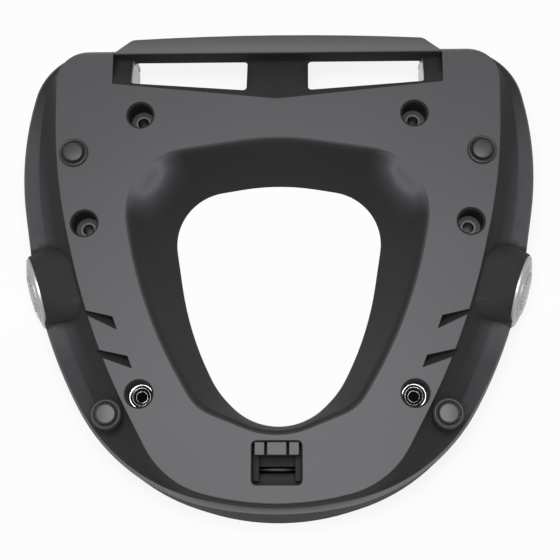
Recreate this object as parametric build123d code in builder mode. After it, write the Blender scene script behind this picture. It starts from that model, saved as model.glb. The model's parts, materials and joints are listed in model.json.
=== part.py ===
from build123d import *
from math import cos, radians, sin, tan
import os

# Top case mounting plate: a moulded nylon shell with a flat deck, a funnel shaped opening,
# a hook bar across the front, six screw wells, four rubber buffers, two side badges and a
# latch receiver at the rear. Millimetres, +X to the right, +Y to the front, +Z up, with the
# plate lying on its lower rim and the origin under the middle of its length.

# Heights above the lower rim
deck_z = 45.0
edge_step = 3.6
lip_z = 31.0
wall = 3.0
deck_thick = 3.0
flank_thick = 2.0

# Right half of each plan outline as corners with their rounding radii.
# The last corner lies on the centre line, and the left half is its mirror image.
deck_corners = [(142.8, 143.9), (141.3, 62.5), (116.8, -41.2), (68.7, -132.5), (0, -150.3)]
deck_rounds = [20, 357, 434, 57, 175]
foot_corners = [(150.0, 148.6), (166.6, 76.8), (147.7, -40.2), (95.5, -132.2), (0, -150.2)]
foot_rounds = [40, 199, 285, 114, 200]
lip_corners = [(150.8, 149.4), (167.5, 76.8), (148.5, -40.5), (96.7, -134.4), (0, -154.9)]
lip_rounds = [41, 200, 297, 120, 204]
rim_corners = [(152.0, 150.6), (168.9, 76.8), (149.9, -41.0), (94.4, -132.6), (0, -161.7)]
rim_rounds = [42, 201, 298, 122, 150]
edge_run = 1.6

# Hollow curve of the flank: share of its run and share of its fall, from the deck to the lip
flank_steps = [(0, 0), (0.28, 0.48), (0.6, 0.83), (1, 1)]

# The funnel's outlines start on the centre line at the front and end on it at the rear.
mouth_corners = [(0, 84.3), (99.1, 69.7), (82.5, -25.1), (47.8, -85.2), (0, -104.6)]
mouth_rounds = [150, 40, 286, 26, 50]
throat_corners = [(0, 67.8), (72.1, 55.5), (58.2, -33.5), (38.9, -72.3), (0, -110.9)]
throat_rounds = [147, 35.6, 203, 61, 41.7]
mouth_round = 3.0
mouth_steps = 4

# Hook tray, windows and hook bar at the front
tray_half = 106.2
tray_rear_y = 111.3
tray_rear_slope = 0.1026
tray_fall = 0.5
bar_rear_y = 143.5
bar_front_y = 155.7
bar_end_y = 153.2
bar_end_x = 94.2
bar_foot_y = 144.4
bar_z = 26.3
bar_round = 3.5
bar_rear_round = 2.5
bar_shoulder = 6.0
window_inner_x = 19.8
window_outer_x = 94.5
window_inner_ledge = 4.5
window_outer_ledge = 1.8
window_corner = 2.5

# Screw wells
well_places = {
    "front": (87.5, 100.8),
    "middle": (121.3, 29.5),
    "rear": (84.3, -78.4),
}
well_r = 7.9
well_depth = 17.5
well_wall = 2.6
well_mouth = 1.2

# Bushes in the wells, for M6 screws
screw_hole_r = 3.3
bush_tube_r = 4.5
bush_flange_r = 5.4
bush_flange = 1.2
bush_gap = 0.05
cup_gap = 0.2
cup_height = 5.0
cup_wall = 0.7
cup_waist_r = 5.6
cup_waist = 2.4

# Rubber buffers
buffer_places = {"front": (129.5, 75.8), "rear": (104.0, -90.8)}
rim_r = 9.3
rim_rise = 0.8
seat_r = 8.0
seat_depth = 3.0
buffer_clear = 0.15
buffer_flange = 1.6
button_r = 6.9
button_top_r = 6.3
button_rise = 3.4
button_bevel = 0.7
stem_r = 3.2
stem_clear = 0.1
barb_r = 4.3
barb_length = 3.5
boss_bore_r = 7.0
seat_slab = 3.0

# Side badges on their pods
badge_place = (153.5, -10.9, 22.9)
badge_yaw = 17.5
badge_lean = 12.0
badge_r = 23.0
badge_thick = 2.6
badge_dome = 3.5
badge_recess = 1.2
badge_clear = 0.15
badge_ring_r = 17.5
badge_ring_wide = 1.2
badge_ring_deep = 0.35
pod_r = 24.0
pod_half = 25.4
pod_corner = 13.0
pod_flare = 10.0
pod_shift = 2.5
pod_length = 22.0
peg_r = 1.5
peg_length = 4.2
peg_spread = 12.0
peg_clear = 0.05

# Wedge notches in the deck: plan corners from the outer front one round to the outer rear one
notch_corners = [
    [(126.0, -24.7), (101.8, -30.2), (98.8, -38.5), (123.0, -26.9)],
    [(116.5, -49.6), (91.9, -54.9), (88.9, -62.6), (113.5, -53.9)],
]
notch_depth = 8.0

# Latch receiver pocket near the rear
pocket_half = 14.9
pocket_front_y = -107.4
pocket_length = 25.65
pocket_depth = 21.0
pocket_corner = 2.5
pocket_wall = 2.5
pocket_mouth = 0.7
receiver_clear = 0.15
receiver_floor = 3.0
receiver_cheek = 3.6
cheek_depth = 10.0
pad_inset = 1.5
pad_split = 7.5
pad_middle = 5.85
pad_gap = 0.4
pad_length = 7.7
pad_tall = 11.0
strike_r = 2.0
strike_back = 16.2
strike_drop = 14.0
strike_clear = 0.05
screw_inset = 7.1
screw_back = 4.5
screw_shank_r = 1.6
screw_clear = 0.05
screw_head_r = 3.2
screw_head = 2.0
screw_length = 9.0

# Ribs under the deck
rib_thick = 2.0
rib_z = 16.0


def outline(corners, rounds, height, grow=0.0):
    """Closed plan sketch of a mirrored outline at a height, grown outwards by an amount."""
    left = [(-x, y) for x, y in reversed(corners) if x > 0]
    left_rounds = [r for (x, y), r in zip(reversed(corners), reversed(rounds)) if x > 0]
    with BuildSketch(Plane.XY.offset(height)) as plan:
        with BuildLine():
            FilletPolyline(*corners, *left, radius=[*rounds, *left_rounds], close=True)
        make_face()
        if grow:
            offset(amount=grow)
    return plan.sketch


def flank_outline(run, fall, skin=0.0):
    """Plan sketch of the flank at a share of its run and fall, drawn in by a wall's thickness."""
    corners = [
        (top[0] + (foot[0] - top[0]) * run, top[1] + (foot[1] - top[1]) * run)
        for top, foot in zip(deck_corners, foot_corners)
    ]
    rounds = [top + (foot - top) * run for top, foot in zip(deck_rounds, foot_rounds)]
    height = deck_z - edge_step - (deck_z - edge_step - lip_z) * fall
    drop = flank_thick if skin else 0
    return outline(corners, rounds, height - drop, edge_run * (1 - run) - skin)


def tray_line(x):
    """Where the deck ends behind the hook tray, at a distance from the centre line."""
    return tray_rear_y + tray_rear_slope * abs(x)


def funnel_outline(height, grow=0.0):
    """Plan sketch of the funnel's wall at a height, grown outwards by an amount."""
    share = height / deck_z
    corners = [
        (low[0] + (high[0] - low[0]) * share, low[1] + (high[1] - low[1]) * share)
        for low, high in zip(throat_corners, mouth_corners)
    ]
    rounds = [low + (high - low) * share for low, high in zip(throat_rounds, mouth_rounds)]
    return outline(corners, rounds, height, grow)


def badge_plane(side):
    """Plane of a badge's outer face, with its normal pointing outwards."""
    x, y, z = badge_place
    level = cos(radians(badge_lean))
    normal = (
        side * level * cos(radians(badge_yaw)),
        -level * sin(radians(badge_yaw)),
        sin(radians(badge_lean)),
    )
    along = (side * sin(radians(badge_yaw)), cos(radians(badge_yaw)), 0)
    return Plane(origin=(side * x, y, z), x_dir=along, z_dir=normal)


def pod_run(side):
    """Direction in which a pod runs inwards from its face, square to the plate's length."""
    return (-side, 0, -tan(radians(badge_lean)))


def pod(side, skin=0.0):
    """Solid of a badge pod: round at the badge, a wider rounded square behind it."""
    run = Vector(*pod_run(side)).normalized()
    front = badge_plane(side).offset(-skin)
    back = Plane(
        front.origin + run * pod_flare + front.x_dir * pod_shift,
        x_dir=front.x_dir,
        z_dir=front.z_dir,
    )
    with BuildPart() as form:
        with BuildSketch(front):
            round_half = pod_r - skin
            RectangleRounded(2 * round_half, 2 * round_half, round_half - 0.05)
        with BuildSketch(back):
            RectangleRounded(2 * (pod_half - skin), 2 * round_half, pod_corner - skin)
        loft(ruled=True)
        with BuildSketch(back):
            RectangleRounded(2 * (pod_half - skin), 2 * round_half, pod_corner - skin)
        extrude(amount=pod_length - skin, dir=run)
    return form.part


def tray_space(skin=0.0):
    """Space of the hook tray above its sloping floor, grown by a wall's thickness."""
    rear_y, front_y = tray_rear_y - skin, bar_rear_y + skin
    half, top = tray_half + skin, deck_z + rim_rise
    with BuildPart() as space:
        for side in (1, -1):
            with BuildSketch(Plane.YZ):
                with BuildLine():
                    Polyline(
                        (rear_y, top),
                        (rear_y, deck_z - skin),
                        (front_y, deck_z - skin - tray_fall * (front_y - rear_y)),
                        (front_y, top),
                        close=True,
                    )
                make_face()
            extrude(amount=2 * half, dir=(side, tray_rear_slope, 0))
        with Locations((0, front_y, 0)):
            Box(
                2 * half,
                2 * (front_y - rear_y),
                2 * top,
                align=(Align.CENTER, Align.MAX, Align.CENTER),
                mode=Mode.INTERSECT,
            )
    return space.part


def notch(corners, side, skin=0.0):
    """Wedge of a notch: its floor rises from the front wall to the deck at the rear."""
    spots = [Vector(side * x, y, deck_z) for x, y in corners]
    deep = spots[1] - Vector(0, 0, notch_depth)
    slope = (spots[2] - spots[3]).cross(deep - spots[3]).normalized()
    floor = Plane(spots[3], x_dir=spots[2] - spots[3], z_dir=slope if slope.Z > 0 else -slope)
    with BuildPart() as wedge:
        with BuildSketch(Plane.XY.offset(deck_z - notch_depth - 2 * skin)):
            with BuildLine():
                Polyline(*[(spot.X, spot.Y) for spot in spots], close=True)
            make_face()
            if skin:
                offset(amount=skin)
        extrude(amount=notch_depth + 2 * skin + 1)
        split(bisect_by=floor.offset(-skin), keep=Keep.TOP)
    return wedge.part


def both_sides(place):
    x, y = place
    return [(x, y), (-x, y)]


wells = [spot for place in well_places.values() for spot in both_sides(place)]
front_buffers = both_sides(buffer_places["front"])
rear_buffers = both_sides(buffer_places["rear"])
well_floor = deck_z - well_depth
pocket_mid_y = pocket_front_y - pocket_length / 2
pocket_floor = deck_z - pocket_depth
seat_floor = deck_z - seat_depth
roof_z = deck_z - deck_thick
shoulder_z = lip_z - flank_thick
pad_outer = pocket_half - pad_inset
pad_spans = [(-pad_outer, -pad_split), (-pad_middle, pad_middle), (pad_split, pad_outer)]
strike_y = pocket_front_y - strike_back
strike_z = deck_z - strike_drop
screw_seat = pocket_floor - pocket_wall
receiver_screws = both_sides((pocket_half - screw_inset, pocket_front_y - screw_back))
side_x = rim_corners[1][0]
front_well, middle_well, rear_well = well_places.values()
rib_spans = [
    ((-side_x, front_well[1]), (side_x, front_well[1])),
    ((-side_x, middle_well[1]), (side_x, middle_well[1])),
    ((-side_x, rear_well[1]), (side_x, rear_well[1])),
    ((-side_x, pocket_mid_y), (side_x, pocket_mid_y)),
]
for side in (1, -1):
    x = side * front_well[0]
    rib_spans.append(((x, mouth_corners[1][1]), (x, tray_line(x))))
    x = side * rear_well[0]
    rib_spans.append(((x, rim_corners[3][1]), (x, rear_well[1])))
    x = side * pocket_half
    rib_spans.append(((x, rim_corners[4][1]), (x, mouth_corners[3][1])))
    x = side * window_inner_x
    rib_spans.append(((x, mouth_corners[1][1]), (x, tray_line(x))))
os.makedirs("parts", exist_ok=True)

with BuildSketch() as window_plan:
    with BuildLine():
        Polyline(
            (window_inner_x, bar_rear_y),
            (window_outer_x, bar_rear_y),
            (window_outer_x, tray_line(window_outer_x) + window_outer_ledge),
            (window_inner_x, tray_line(window_inner_x) + window_inner_ledge),
            close=True,
        )
    make_face()
    mirror(about=Plane.YZ)
    fillet(window_plan.vertices(), window_corner)


def standing(radius, low, high, mode=Mode.SUBTRACT):
    """Upright cylinder between two heights, at the current locations."""
    with Locations((0, 0, low)):
        Cylinder(radius, high - low, align=(Align.CENTER, Align.CENTER, Align.MIN), mode=mode)


# The space under the deck, less every wall, boss and rib that hangs in it
with BuildPart() as hollow:
    add(outline(rim_corners, rim_rounds, 0, -wall))
    add(outline(foot_corners, foot_rounds, shoulder_z, -wall))
    loft(ruled=True)
    for high, low in zip(flank_steps, flank_steps[1:]):
        add(flank_outline(*low, wall))
        add(flank_outline(*high, wall))
        loft(ruled=True)
    add(flank_outline(*flank_steps[0], wall))
    add(outline(deck_corners, deck_rounds, roof_z, -wall))
    loft(ruled=True)
    for side in (1, -1):
        add(pod(side, wall + badge_recess))
    add(funnel_outline(0, wall))
    add(funnel_outline(deck_z, wall))
    loft(ruled=True, mode=Mode.SUBTRACT)
    with Locations(*wells):
        standing(well_r + well_wall, 0, deck_z)
    add(tray_space(wall), mode=Mode.SUBTRACT)
    with BuildSketch():
        add(window_plan.sketch)
        offset(amount=wall)
    extrude(amount=deck_z, mode=Mode.SUBTRACT)
    with BuildSketch(Plane.XY.offset(pocket_floor - pocket_wall)):
        with Locations((0, pocket_mid_y)):
            Rectangle(2 * (pocket_half + pocket_wall), pocket_length + 2 * pocket_wall)
    extrude(amount=deck_z, mode=Mode.SUBTRACT)
    for corners in notch_corners:
        for side in (1, -1):
            add(notch(corners, side, wall), mode=Mode.SUBTRACT)
    with Locations(*front_buffers, *rear_buffers):
        standing(rim_r, rib_z, deck_z)
    for low, high in rib_spans:
        middle = ((low[0] + high[0]) / 2, (low[1] + high[1]) / 2, rib_z)
        size = (max(high[0] - low[0], rib_thick), max(high[1] - low[1], rib_thick))
        with Locations(middle):
            Box(
                *size,
                deck_z,
                align=(Align.CENTER, Align.CENTER, Align.MIN),
                mode=Mode.SUBTRACT,
            )
    with Locations(*front_buffers, *rear_buffers):
        standing(boss_bore_r, 0, seat_floor - seat_slab, mode=Mode.ADD)

# The hook bar across the front, its shoulders running back into the deck
shoulder_x = 2 * tray_half - bar_end_x
shoulder_y = 2 * bar_foot_y - bar_end_y
with BuildPart() as hook_bar:
    with BuildSketch(Plane.XY.offset(bar_z)):
        with BuildLine():
            Polyline(
                (-bar_end_x, bar_end_y),
                (-shoulder_x, shoulder_y),
                (shoulder_x, shoulder_y),
                (bar_end_x, bar_end_y),
            )
            ThreePointArc((bar_end_x, bar_end_y), (0, bar_front_y), (-bar_end_x, bar_end_y))
        make_face()
    extrude(amount=deck_z - bar_z)
    shoulders = hook_bar.edges().filter_by(Axis.Z).group_by(Axis.Y)[-1]
    fillet(shoulders, bar_shoulder)
    top = hook_bar.edges().group_by(Axis.Z)[-1]
    fillet(top.filter_by(lambda e: e.center().Y > shoulder_y + 0.1), bar_round)

with BuildPart() as plate_body:
    # Skirt, flank and raised edge of the deck
    add(outline(rim_corners, rim_rounds, 0))
    add(outline(lip_corners, lip_rounds, lip_z))
    loft(ruled=True)
    for high, low in zip(flank_steps, flank_steps[1:]):
        add(flank_outline(*low))
        add(flank_outline(*high))
        loft(ruled=True)
    add(outline(deck_corners, deck_rounds, deck_z - edge_step, edge_run))
    add(outline(deck_corners, deck_rounds, deck_z))
    loft(ruled=True)
    add(hook_bar.part)
    # Badge pods and buffer bosses
    for side in (1, -1):
        add(pod(side))
    with Locations(*front_buffers, *rear_buffers):
        standing(rim_r, rib_z, deck_z + rim_rise, mode=Mode.ADD)
    add(hollow.part, mode=Mode.SUBTRACT)
    # Funnel, opening out in a quarter round at its mouth
    add(funnel_outline(0))
    add(funnel_outline(deck_z - mouth_round))
    loft(ruled=True, mode=Mode.SUBTRACT)
    for step in range(mouth_steps):
        for turn in (90 * step / mouth_steps, 90 * (step + 1) / mouth_steps):
            height = deck_z - mouth_round * (1 - sin(radians(turn)))
            add(funnel_outline(height, mouth_round * (1 - cos(radians(turn)))))
        loft(ruled=True, mode=Mode.SUBTRACT)
    # Hook tray, its two windows and the way out under the bar
    add(tray_space(), mode=Mode.SUBTRACT)
    add(window_plan.sketch)
    extrude(amount=deck_z, mode=Mode.SUBTRACT)
    with BuildSketch():
        for side in (1, -1):
            with Locations((side * (window_inner_x + window_outer_x) / 2, bar_rear_y)):
                Rectangle(
                    window_outer_x - window_inner_x,
                    2 * (rim_corners[0][1] - bar_rear_y),
                )
    extrude(amount=bar_z, mode=Mode.SUBTRACT)
    # Wedge notches in the deck
    for corners in notch_corners:
        for side in (1, -1):
            add(notch(corners, side), mode=Mode.SUBTRACT)
    # The bar's rear top edge is rounded
    with BuildSketch(Plane.YZ):
        with Locations((bar_rear_y + bar_rear_round / 2, deck_z - bar_rear_round / 2)):
            Rectangle(bar_rear_round, bar_rear_round)
        with Locations((bar_rear_y + bar_rear_round, deck_z - bar_rear_round)):
            Circle(bar_rear_round, mode=Mode.SUBTRACT)
    extrude(amount=tray_half, both=True, mode=Mode.SUBTRACT)
    # Screw wells, with a hole for the bush in each floor
    with Locations(*wells):
        standing(well_r, well_floor, deck_z)
        standing(bush_tube_r + bush_gap, 0, well_floor)
    rims = plate_body.edges().filter_by(GeomType.CIRCLE)
    rims = rims.filter_by(lambda e: abs(e.center().Z - deck_z) < 0.01)
    chamfer(rims.filter_by(lambda e: abs(e.radius - well_r) < 0.01), well_mouth)
    # Buffer seats and their stem holes
    with Locations(*front_buffers, *rear_buffers):
        standing(seat_r, seat_floor, deck_z + rim_rise)
        standing(stem_r + stem_clear, seat_floor - seat_slab, seat_floor)
    # Receiver pocket with its screw holes
    with BuildSketch(Plane.XY.offset(pocket_floor)):
        with Locations((0, pocket_mid_y)):
            RectangleRounded(2 * pocket_half, pocket_length, pocket_corner)
    extrude(amount=pocket_depth, mode=Mode.SUBTRACT)
    pocket_rim = plate_body.edges().filter_by(
        lambda e: abs(e.center().Z - deck_z) < 0.01
        and abs(e.center().X) < pocket_half + 0.1
        and abs(e.center().Y - pocket_mid_y) < pocket_length / 2 + 0.1
    )
    chamfer(pocket_rim, pocket_mouth)
    with Locations(*receiver_screws):
        standing(screw_shank_r + screw_clear, 0, pocket_floor)
    # Badge recesses with their peg holes
    for side in (1, -1):
        with BuildSketch(badge_plane(side).offset(-badge_recess)):
            Circle(badge_r + badge_clear)
        extrude(amount=pod_length, mode=Mode.SUBTRACT)
        with BuildSketch(badge_plane(side)):
            with Locations((peg_spread, 0), (-peg_spread, 0)):
                Circle(peg_r + peg_clear)
        extrude(amount=-(badge_recess + peg_length + 1), mode=Mode.SUBTRACT)
    # Nothing reaches below the rim
    split(bisect_by=Plane.XY, keep=Keep.TOP)

plate_body.part.label = "plate_body"
export_step(plate_body.part, "parts/plate_body.step")

# Bushes: flanged tubes in the front and middle wells, cup washers with tubes in the rear wells
with BuildPart() as flanged_bush:
    standing(bush_tube_r, -well_floor, 0, mode=Mode.ADD)
    standing(bush_flange_r, 0, bush_flange, mode=Mode.ADD)
    standing(screw_hole_r, -well_floor, bush_flange)
with BuildPart() as cup_bush:
    standing(bush_tube_r, -well_floor, 0, mode=Mode.ADD)
    standing(well_r - cup_gap, 0, cup_height, mode=Mode.ADD)
    bowl_r = well_r - cup_gap - cup_wall
    for low, high, low_r, high_r in (
        (bush_flange, cup_waist, screw_hole_r, cup_waist_r),
        (cup_waist, cup_height, cup_waist_r, bowl_r),
    ):
        with Locations((0, 0, low)):
            Cone(
                low_r,
                high_r,
                high - low,
                align=(Align.CENTER, Align.CENTER, Align.MIN),
                mode=Mode.SUBTRACT,
            )
    standing(screw_hole_r, -well_floor, bush_flange)
for name, place in well_places.items():
    bush = cup_bush if name == "rear" else flanged_bush
    for word, spot in zip(("right", "left"), both_sides(place)):
        with BuildPart() as seated:
            with Locations((*spot, well_floor)):
                add(bush.part)
        seated.part.label = f"{name}_bush_{word}"
        export_step(seated.part, f"parts/{seated.part.label}.step")

# Rubber buffers: a flange in the seat, a button above it and a barbed stem below
with BuildPart() as buffer:
    with BuildSketch(Plane.XZ):
        with BuildLine():
            Polyline(
                (0, seat_depth + button_rise),
                (button_top_r, seat_depth + button_rise),
                (button_r, buffer_flange),
                (seat_r - buffer_clear, buffer_flange),
                (seat_r - buffer_clear, 0),
                (stem_r, 0),
                (stem_r, -seat_slab),
                (barb_r, -seat_slab),
                (stem_r, -seat_slab - barb_length),
                (0, -seat_slab - barb_length),
                close=True,
            )
        make_face()
    revolve(axis=Axis.Z)
    top = buffer.edges().group_by(Axis.Z)[-1]
    chamfer(top, button_bevel)
for name, place in buffer_places.items():
    for word, spot in zip(("right", "left"), both_sides(place)):
        with BuildPart() as seated:
            with Locations((*spot, seat_floor)):
                add(buffer.part)
        seated.part.label = f"{name}_buffer_{word}"
        export_step(seated.part, f"parts/{seated.part.label}.step")

# Badges: plain domed discs with one ring groove and two pegs
def dome(radius):
    """Height of the badge's face at a radius."""
    return badge_thick + badge_dome * (1 - (radius / badge_r) ** 2)


ring_outer = badge_ring_r + badge_ring_wide
ring_floor = dome(badge_ring_r) - badge_ring_deep
with BuildPart() as badge:
    with BuildSketch(Plane.XZ):
        with BuildLine():
            Polyline(
                (0, 0),
                (badge_r, 0),
                (badge_r, badge_thick),
                (ring_outer, dome(ring_outer)),
                (ring_outer, ring_floor),
                (badge_ring_r, ring_floor),
                (badge_ring_r, dome(badge_ring_r)),
                (badge_ring_r / 2, dome(badge_ring_r / 2)),
                (0, dome(0)),
                close=True,
            )
        make_face()
    revolve(axis=Axis.Z)
    with Locations((peg_spread, 0), (-peg_spread, 0)):
        standing(peg_r, -peg_length, 0, mode=Mode.ADD)
for word, side in (("right", 1), ("left", -1)):
    with BuildPart() as seated:
        with Locations(badge_plane(side).offset(-badge_recess).location):
            add(badge.part)
    seated.part.label = f"badge_{word}"
    export_step(seated.part, f"parts/{seated.part.label}.step")

# Latch receiver: an insert with a floor, two cheeks and three pads level with the deck
with BuildPart() as latch_receiver:
    with BuildSketch(Plane.XY.offset(pocket_floor)):
        with Locations((0, pocket_mid_y)):
            RectangleRounded(
                2 * (pocket_half - receiver_clear),
                pocket_length - 2 * receiver_clear,
                pocket_corner - receiver_clear,
            )
    extrude(amount=receiver_floor)
    cheek_top = deck_z - cheek_depth
    cheek_x = pocket_half - receiver_clear - receiver_cheek / 2
    with Locations((cheek_x, pocket_mid_y, pocket_floor), (-cheek_x, pocket_mid_y, pocket_floor)):
        Box(
            receiver_cheek,
            pocket_length - 2 * pocket_corner,
            cheek_top - pocket_floor,
            align=(Align.CENTER, Align.CENTER, Align.MIN),
        )
    block_y = pocket_front_y - pad_gap - pad_length / 2
    with Locations((0, block_y, pocket_floor)):
        Box(
            2 * pad_spans[-1][1],
            pad_length,
            deck_z - pad_tall - pocket_floor,
            align=(Align.CENTER, Align.CENTER, Align.MIN),
        )
    for low, high in pad_spans:
        with Locations(((low + high) / 2, block_y, deck_z - pad_tall)):
            Box(high - low, pad_length, pad_tall, align=(Align.CENTER, Align.CENTER, Align.MIN))
    with Locations(Location((0, strike_y, strike_z), (0, 90, 0))):
        Cylinder(strike_r + strike_clear, 2 * pocket_half, mode=Mode.SUBTRACT)
    with Locations(*receiver_screws):
        standing(screw_shank_r + screw_clear, pocket_floor, pocket_floor + screw_length)
latch_receiver.part.label = "latch_receiver"
export_step(latch_receiver.part, "parts/latch_receiver.step")

with BuildPart() as strike_bar:
    with Locations(Location((0, strike_y, strike_z), (0, 90, 0))):
        Cylinder(strike_r, 2 * (pocket_half - receiver_clear) - 0.2)
strike_bar.part.label = "strike_bar"
export_step(strike_bar.part, "parts/strike_bar.step")

# Screws that hold the receiver from below
for word, spot in zip(("right", "left"), receiver_screws):
    with BuildPart() as screw:
        with Locations(spot):
            standing(screw_head_r, screw_seat - screw_head, screw_seat, mode=Mode.ADD)
            standing(screw_shank_r, screw_seat, screw_seat + screw_length, mode=Mode.ADD)
    screw.part.label = f"receiver_screw_{word}"
    export_step(screw.part, f"parts/{screw.part.label}.step")
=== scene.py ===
# %% [markdown]
# # A top case mounting plate
#
# The plate is one large moulding in dark grey plastic. It bolts to the carrier behind a
# motorbike's seat, and a top case hooks under the bar at its front and latches into the
# pocket at its rear. The model comes in at its real size, so this lesson is about light,
# finish and the small turned and moulded pieces that sit in the shell.
#
# The cells run from top to bottom. Lengths are written in millimetres and turned to
# metres by one factor, because the frame is in metres.

# %% Load the frame
import json
import math

import bmesh
import bpy
from mathutils import Matrix, Vector


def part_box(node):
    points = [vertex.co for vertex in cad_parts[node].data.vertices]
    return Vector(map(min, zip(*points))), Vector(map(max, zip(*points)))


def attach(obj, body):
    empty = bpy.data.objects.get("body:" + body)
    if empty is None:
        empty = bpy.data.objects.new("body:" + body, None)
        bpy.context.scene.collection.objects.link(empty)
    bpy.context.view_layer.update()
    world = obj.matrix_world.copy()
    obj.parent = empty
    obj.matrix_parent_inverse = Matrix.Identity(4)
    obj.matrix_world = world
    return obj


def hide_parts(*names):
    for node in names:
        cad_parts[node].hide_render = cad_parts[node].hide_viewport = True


MM = 0.001
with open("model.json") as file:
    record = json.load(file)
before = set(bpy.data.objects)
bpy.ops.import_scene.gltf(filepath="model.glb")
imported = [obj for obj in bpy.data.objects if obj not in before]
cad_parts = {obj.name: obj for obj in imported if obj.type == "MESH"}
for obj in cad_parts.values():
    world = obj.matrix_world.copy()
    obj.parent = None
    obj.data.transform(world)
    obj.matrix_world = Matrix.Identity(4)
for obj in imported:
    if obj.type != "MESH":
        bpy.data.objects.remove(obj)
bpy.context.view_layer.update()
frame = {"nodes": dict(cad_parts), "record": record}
print("nodes", sorted(frame["nodes"]))

# %% [markdown]
# ## Colours and nodes
#
# Colours are read off as hex values, the way a paint chart gives them. The renderer works
# in linear light, so one function converts them. A second function adds a shader node with
# its settings and its links in one line, which keeps each material short enough to read.
# Some nodes have several inputs of the same name, and those are given by number. A Mix node
# numbers them 2 and 3 for plain values, 4 and 5 for vectors, and 6 and 7 for colours.

# %% Colour and node helpers
def linear(hex_colour):
    """Linear RGBA of an sRGB hex colour such as 5b5a5f."""
    shades = [int(hex_colour[i : i + 2], 16) / 255 for i in (0, 2, 4)]
    return [s / 12.92 if s <= 0.04045 else ((s + 0.055) / 1.055) ** 2.4 for s in shades] + [1.0]


def add_node(tree, kind, settings=None, sockets=None):
    """Adds a node, sets its properties, and fills or links its inputs by name or number."""
    node = tree.nodes.new(kind)
    for name, value in (settings or {}).items():
        setattr(node, name, value)
    for name, value in (sockets or {}).items():
        if isinstance(value, bpy.types.NodeSocket):
            tree.links.new(value, node.inputs[name])
        else:
            node.inputs[name].default_value = value
    return node


def new_material(name):
    """An empty node material with its output and its Object coordinates."""
    material = bpy.data.materials.new(name)
    material.use_nodes = True
    tree = material.node_tree
    tree.nodes.clear()
    place = add_node(tree, "ShaderNodeTexCoord").outputs["Object"]
    output = add_node(tree, "ShaderNodeOutputMaterial")
    return material, tree, place, output


print("half of white is", round(linear("808080")[0], 3), "in linear light")

# %% [markdown]
# ## Places on the plate
#
# Several finishes belong to one place only, such as the foot of the flank or the corners of
# the funnel. Masks could be painted for them, but a mask has to be painted again whenever
# the shape changes. Here a place is worked out from the Object coordinates, which are real
# lengths. The plate is its own mirror image, so the distance to the side is taken without
# its sign, and each place is described once.

# %% Place helpers
def halves(tree, place):
    """Distance to the side, way to the front and height of a spot, alike on both halves."""
    spot = add_node(tree, "ShaderNodeSeparateXYZ", sockets={0: place}).outputs
    aside = add_node(tree, "ShaderNodeMath", {"operation": "ABSOLUTE"}, {0: spot["X"]})
    return aside.outputs[0], spot["Y"], spot["Z"]


def distance_in_plan(tree, spot, middle):
    """Distance in plan from a spot to a point on the right half or to its mirror image."""
    aside, ahead, _ = spot
    plan = add_node(tree, "ShaderNodeCombineXYZ", sockets={"X": aside, "Y": ahead})
    away = add_node(
        tree,
        "ShaderNodeVectorMath",
        {"operation": "DISTANCE"},
        {0: plan.outputs[0], 1: middle},
    )
    return away.outputs["Value"]


def zone(tree, *limits):
    """One where each value is past its end, and zero where one is short of its start."""
    share = 1.0
    for value, (start, end) in limits:
        reached = add_node(
            tree,
            "ShaderNodeMapRange",
            sockets={"Value": value, "From Min": start, "From Max": end},
        )
        both = add_node(
            tree,
            "ShaderNodeMath",
            {"operation": "MULTIPLY"},
            {0: share, 1: reached.outputs[0]},
        )
        share = both.outputs[0]
    return share


# %% [markdown]
# ## The camera
#
# The picture was taken from above and a little from the rear, with the camera turned a few
# degrees about its own line of sight. Both sides of the plate were measured on the picture
# and the view that makes them mirror each other was worked out from that. The camera is
# built straight from those angles, as a matrix of its three axes, so no helper has to guess
# the picture's frame.

# %% Camera
VIEW_ELEVATION = math.radians(77.5)
VIEW_AZIMUTH = math.radians(-6.69)
VIEW_ROLL = math.radians(-6.82)
VIEW_DISTANCE = 800 * MM
VIEW_TARGET = Vector((1.93, -7.7, 45)) * MM
LENS = 82.93


def camera_matrix():
    """World matrix of a camera that looks at the target from the view's angles."""
    back = Vector(
        (
            -math.sin(VIEW_AZIMUTH) * math.cos(VIEW_ELEVATION),
            -math.cos(VIEW_AZIMUTH) * math.cos(VIEW_ELEVATION),
            math.sin(VIEW_ELEVATION),
        )
    )
    level = (-back).cross(Vector((0, 0, 1))).normalized()
    upward = level.cross(-back)
    right = level * math.cos(VIEW_ROLL) + upward * math.sin(VIEW_ROLL)
    top = upward * math.cos(VIEW_ROLL) - level * math.sin(VIEW_ROLL)
    matrix = Matrix((right, top, back)).transposed().to_4x4()
    matrix.translation = VIEW_TARGET + back * VIEW_DISTANCE
    return matrix


camera = bpy.data.objects.new("camera", bpy.data.cameras.new("camera"))
camera.data.lens = LENS
camera.data.clip_start = 10 * MM
camera.matrix_world = camera_matrix()
bpy.context.scene.collection.objects.link(camera)
bpy.context.scene.camera = camera
print("camera in mm at", [round(v / MM) for v in camera.matrix_world.translation])

# %% [markdown]
# ## Light
#
# Dark plastic is shown by what it reflects. One softbox high above puts a broad sheen on
# every level face, and leaves the slopes dark because they mirror the unlit side of the
# room. The smaller the softbox, the darker the slopes beside the sheen. A weak even world
# fills them a little, and the camera sees that world as plain white.

# %% Softbox and world
SOFTBOX_SIDE = 0.85
SOFTBOX_PLACE = (-0.03, 0.04, 1.5)
SOFTBOX_POWER = 20.6
ROOM_LIGHT = 0.15


def backdrop_rays(tree):
    """One for rays that show the backdrop: from the camera, in a reflection or through glass."""
    ray = add_node(tree, "ShaderNodeLightPath")
    total = ray.outputs["Is Camera Ray"]
    for kind in ("Is Glossy Ray", "Is Transmission Ray"):
        either = add_node(
            tree,
            "ShaderNodeMath",
            {"operation": "ADD", "use_clamp": True},
            {0: total, 1: ray.outputs[kind]},
        )
        total = either.outputs[0]
    return total


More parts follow.
